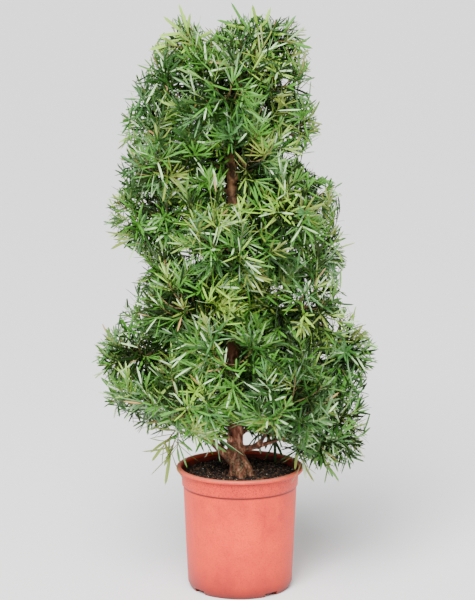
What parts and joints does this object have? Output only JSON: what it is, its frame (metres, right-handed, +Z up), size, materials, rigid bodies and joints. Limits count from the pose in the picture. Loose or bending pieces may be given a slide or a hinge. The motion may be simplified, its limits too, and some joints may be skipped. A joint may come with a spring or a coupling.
{
  "type": "potted podocarpus",
  "caption": "Narrow-leaved evergreen grown as a loosely clipped cone of foliage round one leaning trunk, in a round plastic nursery pot with a rolled lip",
  "frame": {"origin": "centre of the pot's flat underside, on the floor", "axes": "+Z up, along the pot's axis; the plant's front, the side its trunk stands nearest to, faces -Y; +X to the right as seen from the front"},
  "size_m": [0.5692, 0.528, 1.191],
  "materials": {
    "pot": "matte, terracotta-coloured, lightly scuffed",
    "potting_mix": "loose moist peat and bark chips",
    "bark": "rough flaking bark",
    "foliage": "smooth waxy leaves"
  },
  "bodies": {
    "root": {"bough_high_back": "bark", "bough_high_front": "bark", "bough_high_front_left": "bark", "bough_high_left": "bark", "bough_high_right": "bark", "bough_low_back_left": "bark", "bough_low_back_right": "bark", "bough_low_front_left": "bark", "bough_low_front_right": "bark", "bough_low_left": "bark", "bough_low_right": "bark", "bough_lower_back": "bark", "bough_lower_front": "bark", "bough_lower_left": "bark", "bough_lower_right": "bark", "bough_middle_back": "bark", "bough_middle_front_left": "bark", "bough_middle_front_right": "bark", "bough_middle_left": "bark", "bough_middle_right": "bark", "bough_upper_back": "bark", "bough_upper_front": "bark", "bough_upper_front_right": "bark", "bough_upper_left": "bark", "bough_upper_right": "bark", "foliage_crest_back": "foliage", "foliage_crest_front": "foliage", "foliage_crest_left": "foliage", "foliage_crest_right": "foliage", "foliage_high_back": "foliage", "foliage_high_front": "foliage", "foliage_high_front_left": "foliage", "foliage_high_left": "foliage", "foliage_high_right": "foliage", "foliage_low_back_left": "foliage", "foliage_low_back_right": "foliage", "foliage_low_front_left": "foliage", "foliage_low_front_right": "foliage", "foliage_low_left": "foliage", "foliage_low_right": "foliage", "foliage_lower_back": "foliage", "foliage_lower_front": "foliage", "foliage_lower_left": "foliage", "foliage_lower_right": "foliage", "foliage_middle_back": "foliage", "foliage_middle_front_left": "foliage", "foliage_middle_front_right": "foliage", "foliage_middle_left": "foliage", "foliage_middle_right": "foliage", "foliage_top": "foliage", "foliage_top_left": "foliage", "foliage_upper_back": "foliage", "foliage_upper_front": "foliage", "foliage_upper_front_right": "foliage", "foliage_upper_left": "foliage", "foliage_upper_right": "foliage", "pot": "pot", "potting_mix": "potting_mix", "trunk": "bark"}
  },
  "joints": []
}
